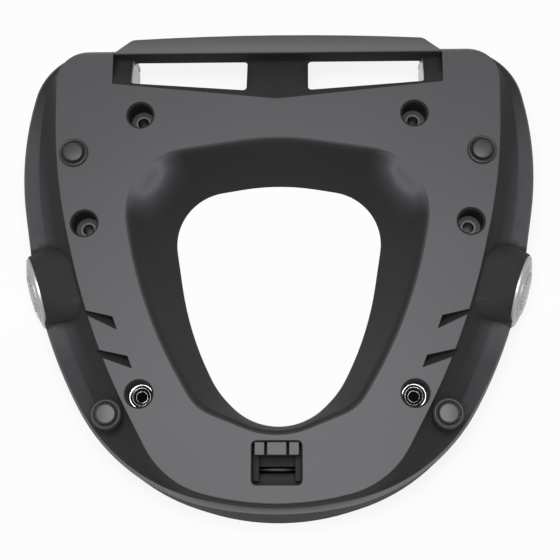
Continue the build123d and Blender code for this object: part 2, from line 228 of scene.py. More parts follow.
softbox = bpy.data.lights.new("softbox", "AREA")
softbox.shape = "SQUARE"
softbox.size = SOFTBOX_SIDE
softbox.energy = SOFTBOX_POWER
lamp = bpy.data.objects.new("softbox", softbox)
lamp.location = SOFTBOX_PLACE
bpy.context.scene.collection.objects.link(lamp)

world = bpy.data.worlds.new("studio")
world.use_nodes = True
bpy.context.scene.world = world
tree = world.node_tree
tree.nodes.clear()
room, white = (
    add_node(
        tree,
        "ShaderNodeBackground",
        sockets={"Color": linear("ffffff"), "Strength": strength},
    )
    for strength in (ROOM_LIGHT, 1.0)
)
both = add_node(
    tree,
    "ShaderNodeMixShader",
    sockets={0: backdrop_rays(tree), 1: room.outputs[0], 2: white.outputs[0]},
)
add_node(tree, "ShaderNodeOutputWorld", sockets={"Surface": both.outputs[0]})
bpy.context.scene.view_settings.view_transform = "Standard"
print("softbox of", softbox.size, "m at", SOFTBOX_PLACE, "with", SOFTBOX_POWER, "W")

# %% [markdown]
# The floor is a pale sheet. The camera sees it almost white, and it still catches a soft
# shadow, which tells the eye that the plate stands on it. Under the rear wells, where the
# bores of the bushes look straight down on it, it doesn't glow, and its colour is painted
# dark there as shade.

# %% Floor
FLOOR_SIDE = 4.0
FLOOR_GLOW = 0.85
# The floor is painted dark around this point as shade.
PAINTED_SHADE_MIDDLE = (85 * MM, -75 * MM, 0)  # below the right rear well, and the left one mirrored
PAINTED_SHADE_REACH = (8 * MM, 16 * MM)

half = FLOOR_SIDE / 2
sheet = bpy.data.meshes.new("floor")
sheet.from_pydata(
    [(-half, -half, 0), (half, -half, 0), (half, half, 0), (-half, half, 0)], [], [(0, 1, 2, 3)]
)
floor = bpy.data.objects.new("floor", sheet)
bpy.context.scene.collection.objects.link(floor)
material, tree, place, output = new_material("pale floor")
glow = add_node(tree, "ShaderNodeEmission", sockets={"Color": linear("ffffff"), "Strength": 1.0})
from_well = distance_in_plan(tree, halves(tree, place), PAINTED_SHADE_MIDDLE)
outside_painted_shade = zone(tree, (from_well, PAINTED_SHADE_REACH))
# Painted shade: the floor's colour turns from pale to 303030 below the rear wells.
tone = add_node(
    tree,
    "ShaderNodeMix",
    {"data_type": "RGBA"},
    {"Factor": outside_painted_shade, 6: linear("303030"), 7: linear("f2f2f2")},
)
matt = add_node(tree, "ShaderNodeBsdfDiffuse", sockets={"Color": tone.outputs[2]})
share = backdrop_rays(tree)
for factor in (FLOOR_GLOW, outside_painted_shade):
    dimmed = add_node(tree, "ShaderNodeMath", {"operation": "MULTIPLY"}, {0: share, 1: factor})
    share = dimmed.outputs[0]
both = add_node(
    tree,
    "ShaderNodeMixShader",
    sockets={0: share, 1: matt.outputs[0], 2: glow.outputs[0]},
)
tree.links.new(both.outputs[0], output.inputs["Surface"])
floor.data.materials.append(material)
print("floor of", FLOOR_SIDE, "m")

# %% [markdown]
# ## Painted sheen on the plastic
#
# The shell is glass-filled nylon, moulded in a tool whose steel was spark-eroded. The skin
# is a fine matt grain. The level faces carry a soft sheen: they are painted paler and made
# a little smoother, while the slopes keep their full grain. One way would be to paint two
# materials on chosen faces. Here a single material reads how level each face is, so the
# change from sheen to grain is gradual.
#
# The flank is hollow and turns level towards its foot, so there the painted sheen grows
# with the way down, and it fades out towards the front and the rear. The badge pods are
# left dark, so the share is cut off around them.

# %% Painted sheen
LEVEL = (0.975, 1.0)  # upward share of the normal: the painted sheen starts at a slope of 13 degrees
FOOT_LEVEL = (0.85, 0.95)  # the same for the foot of the flank: from 32 degrees to 18
SHEEN_FADE = 0.5 * MM  # height over which the painted sheen fades out below its lowest place
FRONT_FADE = (125 * MM, 80 * MM)  # the painted sheen on the foot fades out towards the front
REAR_FADE = (-75 * MM, -35 * MM)  # and towards the rear, behind the pods
POD_MIDDLE = (155 * MM, -11 * MM, 0)  # middle of the right pod in plan, and the left one mirrored
POD_EDGE = (26 * MM, 28 * MM)  # distances from it where the painted sheen is gone and where it is back


def sheen_share(tree, spot, lowest, foot, lean):
    """Share of the painted sheen: one on level faces above a lowest height, at the foot of the
    flank and at the rolled places, zero around the pods.
    """
    _, ahead, height = spot
    facing = add_node(tree, "ShaderNodeNewGeometry").outputs["Normal"]
    upward = add_node(tree, "ShaderNodeSeparateXYZ", sockets={0: facing}).outputs["Z"]
    places = [zone(tree, (upward, LEVEL), (height, (lowest - SHEEN_FADE, lowest)))]
    if foot:
        hollow = zone(
            tree,
            (upward, FOOT_LEVEL),
            (height, foot),
            (ahead, FRONT_FADE),
            (ahead, REAR_FADE),
        )
        # Painted highlight: the rolled places and the foot of the flank also take the paler
        # colour.
        places += [lean, hollow]
    share = 0.0
    for other in places:
        larger = add_node(tree, "ShaderNodeMath", {"operation": "MAXIMUM"}, {0: share, 1: other})
        share = larger.outputs[0]
    clear = zone(tree, (distance_in_plan(tree, spot, POD_MIDDLE), POD_EDGE))
    outside = add_node(tree, "ShaderNodeMath", {"operation": "MULTIPLY"}, {0: share, 1: clear})
    return outside.outputs[0]


# Painted sheen: level faces are painted paler up to this slope.
print("level faces are rubbed up to", round(math.degrees(math.acos(LEVEL[0]))), "degrees of slope")

# %% [markdown]
# ## Soft edges
#
# Moulded edges are never sharp. A bevel node rounds the shading over the last part of a
# millimetre at each edge, and over far more on the flank, whose hollow is one smooth curve.
# Three places are rounder than that: the front corners of the funnel, the rear of the hook
# bar and the ledge behind the deck. There the shading normal is leaned towards the sky, so
# that the surface seems to roll over, and the same places are painted paler as a highlight.

# %% Rolled places
CORNER_MIDDLE = (84 * MM, 61 * MM, 0)  # right front corner of the funnel in plan
CORNER_REACH = (28 * MM, 8 * MM)  # distances where the roll starts and where it is full
CORNER_HEIGHTS = (14 * MM, 38 * MM)
BAR_REACH = (142 * MM, 143 * MM)  # the hook bar is in front of these
BAR_HEIGHTS = (40 * MM, 43.5 * MM)
BAR_CROWN = (154 * MM, 145 * MM)  # the top of the bar turns to the rear between these
BAR_TILT = 0.14  # slope of that turn, as a share of the way up
LEDGE_REACH = (-134 * MM, -144 * MM)  # the ledge behind the deck grows rounder between these
LEDGE_HEIGHTS = (36 * MM, 34 * MM)
LEDGE_FOOT = (30 * MM, 31 * MM)
EDGE_RADIUS = 0.6 * MM
FLANK_FOOT = (31 * MM, 32 * MM)
FLANK_TOP = (42 * MM, 41 * MM)
FLANK_SOFTNESS = 9 * MM


def roll_share(tree, spot):
    """How far the shading normal leans to the sky, and how far the colour is painted paler as a
    highlight there: at the funnel's corners, bar and ledge.
    """
    _, ahead, height = spot
    from_corner = distance_in_plan(tree, spot, CORNER_MIDDLE)
    share = 0.0
    for limits in (
        ((from_corner, CORNER_REACH), (height, CORNER_HEIGHTS)),
        ((ahead, BAR_REACH), (height, BAR_HEIGHTS)),
        ((ahead, LEDGE_REACH), (height, LEDGE_HEIGHTS), (height, LEDGE_FOOT)),
    ):
        place = zone(tree, *limits)
        larger = add_node(tree, "ShaderNodeMath", {"operation": "MAXIMUM"}, {0: share, 1: place})
        share = larger.outputs[0]
    return share


def leaning_normal(tree, spot, lean, normal):
    """Normal that leans to the sky by a share, and a little to the rear on top of the bar."""
    _, ahead, _ = spot
    crown = zone(tree, (ahead, BAR_REACH), (ahead, BAR_CROWN))
    back = add_node(tree, "ShaderNodeMath", {"operation": "MULTIPLY"}, {0: crown, 1: -BAR_TILT})
    sky = add_node(tree, "ShaderNodeCombineXYZ", sockets={"Y": back.outputs[0], "Z": 1.0})
    between = add_node(
        tree,
        "ShaderNodeMix",
        {"data_type": "VECTOR"},
        {"Factor": lean, 4: normal, 5: sky.outputs[0]},
    )
    unit = add_node(
        tree, "ShaderNodeVectorMath", {"operation": "NORMALIZE"}, {0: between.outputs[1]}
    )
    return unit.outputs[0]


def bevel_radius(tree, spot):
    """Radius of the bevel: wide on the flank and fine elsewhere."""
    _, _, height = spot
    flank = zone(tree, (height, FLANK_FOOT), (height, FLANK_TOP))
    radius = add_node(
        tree,
        "ShaderNodeMath",
        {"operation": "MULTIPLY_ADD"},
        {0: flank, 1: FLANK_SOFTNESS, 2: EDGE_RADIUS},
    )
    return radius.outputs[0]


print("bevel in mm", EDGE_RADIUS / MM, "and on the flank", (EDGE_RADIUS + FLANK_SOFTNESS) / MM)

# %% [markdown]
# The end walls of the windows were cut by a smooth slide in the tool. They are seen at a
# grazing angle, and mirror the pale floor as a bright strip. Three tests find them: the
# distance to the side, the height and the way to the front.

# %% Smooth ends of the windows
WINDOW_END = 94.5 * MM  # distance of the end walls from the middle of the plate
WINDOW_SLACK = 0.3 * MM  # how far from that distance a wall may still be
WINDOW_REAR = 110 * MM
WINDOW_TOP = 40 * MM
SLIDE_GLOSS = 0.12  # roughness of the walls that the slide cut


def slide_share(tree, spot):
    """One on the outer end walls of the windows, zero elsewhere."""
    aside, ahead, height = spot
    share = 1.0
    for test, value, limit in (
        ("COMPARE", aside, WINDOW_END),
        ("LESS_THAN", height, WINDOW_TOP),
        ("GREATER_THAN", ahead, WINDOW_REAR),
    ):
        passed = add_node(
            tree,
            "ShaderNodeMath",
            {"operation": test},
            {0: value, 1: limit, 2: WINDOW_SLACK},
        )
        both = add_node(
            tree,
            "ShaderNodeMath",
            {"operation": "MULTIPLY"},
            {0: share, 1: passed.outputs[0]},
        )
        share = both.outputs[0]
    return share


print("windows end", WINDOW_END / MM, "mm from the middle")

# %% [markdown]
# ## The moulded plastics
#
# Shell, insert and buffers are all moulded, so one recipe serves all three: a slow change of
# tone where the melt flowed, a fine grain, and a smoother finish on level faces, painted
# paler as a sheen. Only the shell has a flank, so only the shell gets the painted sheen on
# its foot, the rolled places and the smooth ends.

# %% Recipe for moulded plastic
GRAIN = 0.5 * MM  # real grain is near 0.25 mm, too fine for one pixel, so it is drawn coarser
FLOW = 60 * MM
GRAIN_GLOSS = 0.1  # how much the roughness changes from grain to grain
GRAIN_STRENGTH = 0.5  # share of the grain's depth that the bump shows


def moulded_plastic(name, fresh, sheen_colours, lowest, glosses, grain_depth, index, foot=None):
    """Matt moulded plastic: flow tone, fine grain, and smoother level faces painted paler as a
    sheen.
    """
    material, tree, place, output = new_material(name)
    flow, grain = (
        add_node(
            tree,
            "ShaderNodeTexNoise",
            sockets={"Vector": place, "Scale": 1 / size, "Detail": detail},
        ).outputs["Fac"]
        for size, detail in ((FLOW, 3.0), (GRAIN, 4.0))
    )
    fresh_tone, sheen_tone = (
        add_node(
            tree,
            "ShaderNodeMix",
            {"data_type": "RGBA"},
            {"Factor": flow, 6: linear(dark), 7: linear(pale)},
        ).outputs[2]
        for dark, pale in (fresh, sheen_colours)
    )
    spot = halves(tree, place)
    lean = roll_share(tree, spot) if foot else None
    sheen_here = sheen_share(tree, spot, lowest, foot, lean)
    # Painted sheen: where the share is one, the colour turns to the paler pair.
    tone = add_node(
        tree,
        "ShaderNodeMix",
        {"data_type": "RGBA"},
        {"Factor": sheen_here, 6: fresh_tone, 7: sheen_tone},
    )
    grained, sheen_roughness = glosses
    gloss = add_node(
        tree, "ShaderNodeMapRange", sockets={"Value": sheen_here, "To Min": grained, "To Max": sheen_roughness}
    )
    patchy = add_node(
        tree,
        "ShaderNodeMath",
        {"operation": "MULTIPLY_ADD"},
        {0: grain, 1: GRAIN_GLOSS, 2: gloss.outputs[0]},
    )
    roughness = patchy.outputs[0]
    edge = add_node(tree, "ShaderNodeBevel", {"samples": 4}, {"Radius": EDGE_RADIUS})
    normal = edge.outputs[0]
    if foot:
        tree.links.new(bevel_radius(tree, spot), edge.inputs["Radius"])
        normal = leaning_normal(tree, spot, lean, normal)
        slid = add_node(
            tree,
            "ShaderNodeMix",
            {"data_type": "FLOAT"},
            {"Factor": slide_share(tree, spot), 2: roughness, 3: SLIDE_GLOSS},
        )
        roughness = slid.outputs[0]
    bump = add_node(
        tree,
        "ShaderNodeBump",
        sockets={
            "Height": grain,
            "Strength": GRAIN_STRENGTH,
            "Distance": grain_depth,
            "Normal": normal,
        },
    )
    skin = add_node(
        tree,
        "ShaderNodeBsdfPrincipled",
        sockets={
            "Base Color": tone.outputs[2],
            "Roughness": roughness,
            "IOR": index,
            "Normal": bump.outputs[0],
        },
    )
    tree.links.new(skin.outputs[0], output.inputs["Surface"])
    return material


print("grain drawn at", GRAIN / MM, "mm, flow at", FLOW / MM, "mm")

# %% [markdown]
# Each plastic then needs only its colours, its two roughnesses, grained and sheened, the
# depth of its grain and its index. The pairs of colours are the ends of the slow change of
# tone, for the plain finish and for the painted sheen.

# %% The three plastics
# Spark-eroded nylon: broad sheen on the level faces, partly gloss and partly painted paler colour,
# dull slopes
shell_plastic = moulded_plastic(
    "spark-eroded nylon",
    fresh=("1c1c1e", "232325"),
    sheen_colours=("38373b", "403f43"),
    lowest=0,
    glosses=(0.75, 0.38),
    grain_depth=0.05 * MM,
    index=1.38,
    foot=(36.5 * MM, 33 * MM),
)
# Dull acetal: the level tops of the pads painted paler as a sheen, and dark below them
insert_plastic = moulded_plastic(
    "moulded acetal",
    fresh=("2c2c2d", "343435"),
    sheen_colours=("424145", "4a494d"),
    lowest=44.5 * MM,
    glosses=(0.85, 0.38),
    grain_depth=0.03 * MM,
    index=1.38,
)
# Smooth rubber: a low gloss with a clear streak of the softbox, and level faces painted a little
# paler as a sheen
rubber = moulded_plastic(
    "smooth nitrile rubber",
    fresh=("202121", "262727"),
    sheen_colours=("222323", "282929"),
    lowest=0,
    glosses=(0.3, 0.26),
    grain_depth=0.01 * MM,
    index=1.4,
)
print("plastics", [plastic.name for plastic in (shell_plastic, insert_plastic, rubber)])

# %% [markdown]
# ## Metals
#
# The bushes are turned steel with a dull zinc coat, and the rear cups are pressed and
# chromed. The bar in the latch is oiled steel whose ends are painted dark as shade, so only
# its middle shows a bright streak, and the badges are zinc castings with satin silver
# paint. A tool or a spray leaves fine marks, so tone and gloss vary over a third of a
# millimetre. A metal keeps the shader's default index.

# %% Metals
TOOL_MARK = 0.3 * MM
MARK_GLOSS = 0.2  # share by which the marks change the roughness, up and down
# Colour painted on the ends of the latch bar as shade.
PAINTED_END_SHADE = "0d0d0e"


def metal(name, colour, shade, roughness, painted_shade_ends=None):
    """A metal whose tone and gloss vary with the tool's marks, and whose ends may be painted dark
    as shade.
    """
    material, tree, place, output = new_material(name)
    marks = add_node(
        tree,
        "ShaderNodeTexNoise",
        sockets={"Vector": place, "Scale": 1 / TOOL_MARK, "Detail": 2.0},
    ).outputs["Fac"]
    tone = add_node(
        tree,
        "ShaderNodeMix",
        {"data_type": "RGBA"},
        {"Factor": marks, 6: linear(colour), 7: linear(shade)},
    )
    gloss = add_node(
        tree,
        "ShaderNodeMapRange",
        sockets={
            "Value": marks,
            "To Min": roughness * (1 - MARK_GLOSS),
            "To Max": roughness * (1 + MARK_GLOSS),
        },
    )
    # Painted shade: the colour turns dark towards the ends of the bar.
    if painted_shade_ends:
        aside, _, _ = halves(tree, place)
        tone = add_node(
            tree,
            "ShaderNodeMix",
            {"data_type": "RGBA"},
            {"Factor": zone(tree, (aside, painted_shade_ends)), 6: tone.outputs[2], 7: linear(PAINTED_END_SHADE)},
        )
    body = add_node(
        tree,
        "ShaderNodeBsdfPrincipled",
        sockets={"Base Color": tone.outputs[2], "Metallic": 1.0, "Roughness": gloss.outputs[0]},
    )
    tree.links.new(body.outputs[0], output.inputs["Surface"])
    return material


# Dull zinc: a grey ring with a blurred highlight
zinc = metal("dull zinc plate", "4c4d4f", "444547", 0.5)
# Chrome: clear reflections, nearly white where the rim faces the softbox
chrome = metal("chrome plate", "d0d0d0", "c6c6c6", 0.12)
# Satin paint: an even silver that darkens gently as the dome turns away
silver = metal("satin silver paint", "a6a6a8", "9c9c9e", 0.42)
# Oiled steel: its ends painted dark as shade, so the paler streak stays in the middle
steel = metal("oiled steel", "2c2c2e", "262628", 0.4, (3 * MM, 9 * MM))
print("metals", [coat.name for coat in (zinc, chrome, silver, steel)])

# %% [markdown]
# ## Finish of the CAD nodes
#
# The record names a material slot for every node, so one table from slot to material
# dresses the whole plate. Pieces that replace a node below take their finish from the same
# table.

# %% Finish for each node
FINISHES = {
    "shell_plastic": shell_plastic,
    "insert_plastic": insert_plastic,
    "bush_steel": zinc,
    "cup_steel": chrome,
    "strike_steel": steel,
    "screw_steel": zinc,
    "buffer_rubber": rubber,
    "badge_silver": silver,
}
slot_of = {row["node"]: row["material_slot"] for row in frame["record"]["subparts"]}
for name, slot in slot_of.items():
    node = frame["nodes"][name]
    node.data.materials.clear()
    node.data.materials.append(FINISHES[slot])
print("finished", len(slot_of), "nodes")

# %% [markdown]
# ## Turned pieces
#
# Buffers, bushes, cups, badges, screws and the latch bar are all round about one axis. The
# CAD gives them flat facets and sharp corners. Each could be a cylinder with a bevel, but a
# profile swung about the axis says exactly where the radii are, and it is how a lathe makes
# them. A profile is a list of corners: radius, height and rounding, in millimetres.

# %% Profiles and turning
TURN_STEPS = 96
ROUND_STEPS = 5


def rounded(corners):
    """Profile points of a list of corners, each with its rounding radius."""
    points = []
    for index, (radius, height, fillet) in enumerate(corners):
        here = Vector((radius, height))
        if not fillet:
            points.append(here)
            continue
        before = (Vector(corners[index - 1][:2]) - here).normalized()
        after = (Vector(corners[(index + 1) % len(corners)][:2]) - here).normalized()
        half = before.angle(after) / 2
        centre = here + (before + after).normalized() * fillet / math.sin(half)
        first = here + before * fillet / math.tan(half) - centre
        last = here + after * fillet / math.tan(half) - centre
        for step in range(ROUND_STEPS + 1):
            arm = first.lerp(last, step / ROUND_STEPS).normalized() * fillet
            points.append(centre + arm)
    return points


def turned_mesh(name, corners, base):
    """Mesh of a profile swung about the axis of a base matrix, closed at its poles or bore."""
    shape = bmesh.new()
    rings = []
    for radius, height in rounded(corners):
        count = TURN_STEPS if radius > 0 else 1
        turns = [math.tau * step / TURN_STEPS for step in range(count)]
        rings.append(
            [shape.verts.new((radius * math.cos(t), radius * math.sin(t), height)) for t in turns]
        )
    ends = [] if len(rings[0]) == 1 else [rings[0]]
    for low, high in zip(rings, rings[1:] + ends):
        for step in range(TURN_STEPS):
            around = [
                ring[turn % len(ring)]
                for ring, turn in ((low, step), (low, step + 1), (high, step + 1), (high, step))
            ]
            shape.faces.new(list(dict.fromkeys(around)))
    shape.transform(base @ Matrix.Scale(MM, 4))
    bmesh.ops.recalc_face_normals(shape, faces=shape.faces)
    mesh = bpy.data.meshes.new(name)
    shape.to_mesh(mesh)
    shape.free()
    return mesh


print("a turned ring has", TURN_STEPS, "points, and a rounding", ROUND_STEPS, "steps")

# %% [markdown]
# A finished mesh takes the place of its CAD node, with that node's material slot. Its
# shading is smooth but for edges sharper than an angle, so a radius looks round and a flat
# face stays flat. An upright piece finds its axis from the box of the node it replaces, so
# no place is typed in twice.

# %% Placing a piece
SHARP_ANGLE = math.radians(35)


def place_piece(name, mesh, node_name):
    """Puts a finished mesh in the scene in place of a CAD node, with that node's finish."""
    if not mesh.has_custom_normals:
        mesh.shade_smooth()
        mesh.set_sharp_from_angle(angle=SHARP_ANGLE)
    mesh.materials.clear()
    mesh.materials.append(FINISHES[slot_of[node_name]])
    piece = bpy.data.objects.new(name, mesh)
    bpy.context.scene.collection.objects.link(piece)
    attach(piece, "root")
    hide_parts(node_name)
    return piece


def upright(node_name, height):
    """Matrix of an upright axis through the middle of a node, at a height in millimetres."""
    low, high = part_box(node_name)
    return Matrix.Translation(((low[0] + high[0]) / 2, (low[1] + high[1]) / 2, height * MM))


print("edges stay sharp above", round(math.degrees(SHARP_ANGLE)), "degrees")

# %% [markdown]
# ### Buffers
#
# Four rubber buttons carry the weight of the case and stop it rattling. Each has a flange
# that fills the seat, a round bead that lies on the seat's rim, a button with a generously
# rounded top, and a stem with a barb that snaps through the deck.

# %% Buffers
SIDES = {"left": -1, "right": 1}  # each side's direction along X
SEAT_FLOOR = 42.0
buffer_profile = [
    (0, 6.4, 0),
    (6.3, 6.4, 1.3),
    (6.9, 3.8, 0.1),
    (7.3, 3.8, 0.1),
    (7.3, 4.9, 0.85),
    (9.1, 4.9, 0.85),
    (9.1, 3.8, 0),
    (7.85, 3.8, 0),
    (7.85, 0, 0),
    (3.2, 0, 0),
    (3.2, -3.0, 0),
    (4.3, -3.0, 0.2),
    (3.2, -6.5, 0.3),
    (0, -6.5, 0),
]
for end in ("front", "rear"):
    for side in SIDES:
        node_name = f"{end}_buffer_{side}"
        mesh = turned_mesh(node_name, buffer_profile, upright(node_name, SEAT_FLOOR))
        place_piece(f"rubber_{node_name}", mesh, node_name)
print("buffers", len(buffer_profile), "corners each")

# %% [markdown]
# ### Bushes and cups
#
# Steel bushes take the pull of the fixings, so the plastic isn't crushed. The front and
# middle ones have a small flange. The rear ones are cups for a countersunk head, and their
# bowl is a smooth curve from the bore up to a thin rim.

# %% Bushes and cups
WELL_FLOOR = 27.5
bush_profile = [
    (3.3, -WELL_FLOOR, 0.3),
    (4.5, -WELL_FLOOR, 0.3),
    (4.5, 0, 0),
    (5.4, 0, 0),
    (5.4, 1.2, 0.3),
    (3.3, 1.2, 0.4),
]
cup_profile = [
    (3.3, -WELL_FLOOR, 0.3),
    (4.5, -WELL_FLOOR, 0.3),
    (4.5, 0, 0),
    (7.7, 0, 0.5),
    (7.7, 5.0, 0.3),
    (7.0, 5.0, 0.3),
    (5.6, 2.4, 1.5),
    (3.3, 1.2, 0.6),
]
bushes = {"front": bush_profile, "middle": bush_profile, "rear": cup_profile}
for end, profile in bushes.items():
    for side in SIDES:
        node_name = f"{end}_bush_{side}"
        mesh = turned_mesh(node_name, profile, upright(node_name, WELL_FLOOR))
        place_piece(f"turned_{node_name}", mesh, node_name)
print("bushes and cups", len(bushes) * len(SIDES))

# %% [markdown]
# ### Badges
#
# A round domed disc sits on a pod on each side. Its profile follows a parabola, so it is
# worked out from a formula and not typed in. Two pegs behind it press into the pod. Its face
# carries one fine groove and a plain ring of short raised bars, as a coin's border has. The
# pods face outwards, a little to the rear and upwards, so a matrix holds the badge's axes.

# %% Badge axes and dome
BADGE_PLACE = Vector((153.5, -10.9, 22.9))
BADGE_YAW = math.radians(17.5)
BADGE_LEAN = math.radians(12.0)
BADGE_RECESS = 1.2
BADGE_R = 23.0
BADGE_THICK = 2.6
BADGE_DOME = 3.5


def badge_matrix(side):
    """Axes of a badge: local Z points out of the pod, and the origin is on the recess floor."""
    level = math.cos(BADGE_LEAN)
    normal = Vector(
        (
            side * level * math.cos(BADGE_YAW),
            -level * math.sin(BADGE_YAW),
            math.sin(BADGE_LEAN),
        )
    )
    along = Vector((side * math.sin(BADGE_YAW), math.cos(BADGE_YAW), 0))
    matrix = Matrix((along, normal.cross(along), normal)).transposed().to_4x4()
    centre = Vector((side * BADGE_PLACE.x, BADGE_PLACE.y, BADGE_PLACE.z))
    matrix.translation = (centre - normal * BADGE_RECESS) * MM
    return matrix


def dome_height(radius):
    """Height of the badge's face at a radius."""
    return BADGE_THICK + BADGE_DOME * (1 - (radius / BADGE_R) ** 2)


print("badge is", dome_height(0), "mm thick in the middle and", BADGE_THICK, "mm at its edge")

# %% [markdown]
# The bars repeat around a circle, which is what Geometry Nodes are for: one bar is drawn as
# a rounded rectangle and given its thickness, and the points of a circle each take a copy,
# turned to face the middle and tilted to follow the dome.

# %% Ring of bars
BORDER_CORNER = 0.45  # corner radius as a share of a bar's width
BORDER_CORNER_STEPS = 4
MERGE = 0.01 * MM  # points nearer than this become one


def border_tree(material):
    """Node tree that sets short rounded bars around a circle, tilted to a dome."""
    tree = bpy.data.node_groups.new("ring of bars", "GeometryNodeTree")
    tree.interface.new_socket("Bars", in_out="INPUT", socket_type="NodeSocketInt")
    for label in ("Radius", "Long", "Wide", "Thick", "Tilt"):
        tree.interface.new_socket(label, in_out="INPUT", socket_type="NodeSocketFloat")
    tree.interface.new_socket("Ring", in_out="OUTPUT", socket_type="NodeSocketGeometry")
    given = add_node(tree, "NodeGroupInput").outputs
    circle = add_node(
        tree,
        "GeometryNodeMeshCircle",
        sockets={"Vertices": given["Bars"], "Radius": given["Radius"]},
    )
    line = add_node(
        tree,
        "GeometryNodeCurvePrimitiveQuadrilateral",
        sockets={"Width": given["Long"], "Height": given["Wide"]},
    )
    corner = add_node(
        tree,
        "ShaderNodeMath",
        {"operation": "MULTIPLY"},
        {0: given["Wide"], 1: BORDER_CORNER},
    )
    soft = add_node(
        tree,
        "GeometryNodeFilletCurve",
        {"mode": "POLY"},
        {"Curve": line.outputs[0], "Count": BORDER_CORNER_STEPS, "Radius": corner.outputs[0]},
    )
    face = add_node(tree, "GeometryNodeFillCurve", sockets={"Curve": soft.outputs[0]})
    raised = add_node(
        tree,
        "GeometryNodeExtrudeMesh",
        sockets={"Mesh": face.outputs[0], "Offset Scale": given["Thick"], "Individual": False},
    )
    back = add_node(tree, "GeometryNodeFlipFaces", sockets={"Mesh": face.outputs[0]})
    bar = add_node(tree, "GeometryNodeJoinGeometry")
    tree.links.new(raised.outputs[0], bar.inputs[0])
    tree.links.new(back.outputs[0], bar.inputs[0])
    closed = add_node(
        tree,
        "GeometryNodeMergeByDistance",
        sockets={"Geometry": bar.outputs[0], "Distance": MERGE},
    )
    index = add_node(tree, "GeometryNodeInputIndex")
    share = add_node(
        tree,
        "ShaderNodeMath",
        {"operation": "DIVIDE"},
        {0: index.outputs[0], 1: given["Bars"]},
    )
    angle = add_node(
        tree,
        "ShaderNodeMath",
        {"operation": "MULTIPLY"},
        {0: share.outputs[0], 1: math.tau},
    )
    turn = add_node(
        tree, "ShaderNodeCombineXYZ", sockets={"Y": given["Tilt"], "Z": angle.outputs[0]}
    )
    copies = add_node(
        tree,
        "GeometryNodeInstanceOnPoints",
        sockets={
            "Points": circle.outputs[0],
            "Instance": closed.outputs[0],
            "Rotation": turn.outputs[0],
        },
    )
    real = add_node(tree, "GeometryNodeRealizeInstances", sockets={0: copies.outputs[0]})
    dressed = add_node(
        tree,
        "GeometryNodeSetMaterial",
        sockets={"Geometry": real.outputs[0], "Material": material},
    )
    result = add_node(tree, "NodeGroupOutput")
    tree.links.new(dressed.outputs[0], result.inputs[0])
    return tree


border_group = border_tree(silver)
print("ring of bars has", len(border_group.nodes), "nodes")

# %% [markdown]
# A node tree's sizes are set on a modifier, by the identifier of each input. The object is
# then evaluated once and its result kept as a plain mesh, because the badge below needs
# real faces.

# %% Mesh of the ring
BORDER_R = 13.0
BORDER_BARS = 24
BORDER_LONG = 4.2
BORDER_WIDE = 1.3
BORDER_SUNK = 0.2
BORDER_PROUD = 0.3


def made_by(tree, mesh, values):
    """Plain mesh that a node tree makes from a mesh and its named values."""
    blank = bpy.data.objects.new("blank", mesh)
    bpy.context.scene.collection.objects.link(blank)
    maker = blank.modifiers.new("maker", "NODES")
    maker.node_group = tree
    for socket in tree.interface.items_tree:
        if socket.in_out == "INPUT" and socket.name in values:
            maker[socket.identifier] = values[socket.name]
    evaluated = blank.evaluated_get(bpy.context.evaluated_depsgraph_get())
    finished = bpy.data.meshes.new_from_object(evaluated)
    blank.modifiers.remove(maker)
    bpy.data.objects.remove(blank)
    return finished


border_sizes = {
    "Bars": BORDER_BARS,
    "Radius": BORDER_R * MM,
    "Long": BORDER_LONG * MM,
    "Wide": BORDER_WIDE * MM,
    "Thick": (BORDER_SUNK + BORDER_PROUD) * MM,
    "Tilt": math.atan(2 * BADGE_DOME * BORDER_R / BADGE_R**2),
}
border = made_by(border_group, bpy.data.meshes.new("border"), border_sizes)
print("border faces", len(border.polygons))

# %% [markdown]
# The disc, its two pegs and the ring are separate closed shells that cut into each other a
# little, and they join into one mesh for each badge. Outside the groove the profile takes
# its points a millimetre apart.

# %% Badge discs
GROOVE_R = 17.5
GROOVE_WIDE = 1.2
GROOVE_DEEP = 0.35
DOME_STEPS = 12
RIM_STEPS = 4
PEG_R = 1.5
PEG_LENGTH = 4.2
PEG_SPREAD = 12.0

groove_end = GROOVE_R + GROOVE_WIDE
groove_floor = dome_height(GROOVE_R) - GROOVE_DEEP
inner = [GROOVE_R * step / DOME_STEPS for step in range(DOME_STEPS)]
outer = [groove_end + step for step in range(RIM_STEPS)]
badge_profile = [
    *((radius, dome_height(radius), 0) for radius in inner),
    (GROOVE_R, dome_height(GROOVE_R), 0.1),
    (GROOVE_R, groove_floor, 0),
    (groove_end, groove_floor, 0),
    *((radius, dome_height(radius), 0) for radius in outer),
    (BADGE_R, BADGE_THICK, 0.5),
    (BADGE_R, 0, 0),
    (0, 0, 0),
]
peg_profile = [(0, 0, 0), (PEG_R, 0, 0), (PEG_R, -PEG_LENGTH, 0.3), (0, -PEG_LENGTH, 0)]
for word, side in SIDES.items():
    base = badge_matrix(side)
    shells = [turned_mesh(f"badge_{word}", badge_profile, base)]
    for spread in (-PEG_SPREAD, PEG_SPREAD):
        peg_base = base @ Matrix.Translation((spread * MM, 0, 0))
        shells.append(turned_mesh("peg", peg_profile, peg_base))
    ring = border.copy()
    ring.transform(base @ Matrix.Translation((0, 0, (dome_height(BORDER_R) - BORDER_SUNK) * MM)))
    shells.append(ring)
    joined = bmesh.new()
    for shell in shells:
        joined.from_mesh(shell)
    joined.to_mesh(shells[0])
    joined.free()
    place_piece(f"domed_badge_{word}", shells[0], f"badge_{word}")
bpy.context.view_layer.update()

# %% [markdown]
# ## Latch
#
# The latch's hook catches a steel bar across the pocket. The bar is a piece of ground rod
# with its ends broken, so it is turned like the rest and laid along X.

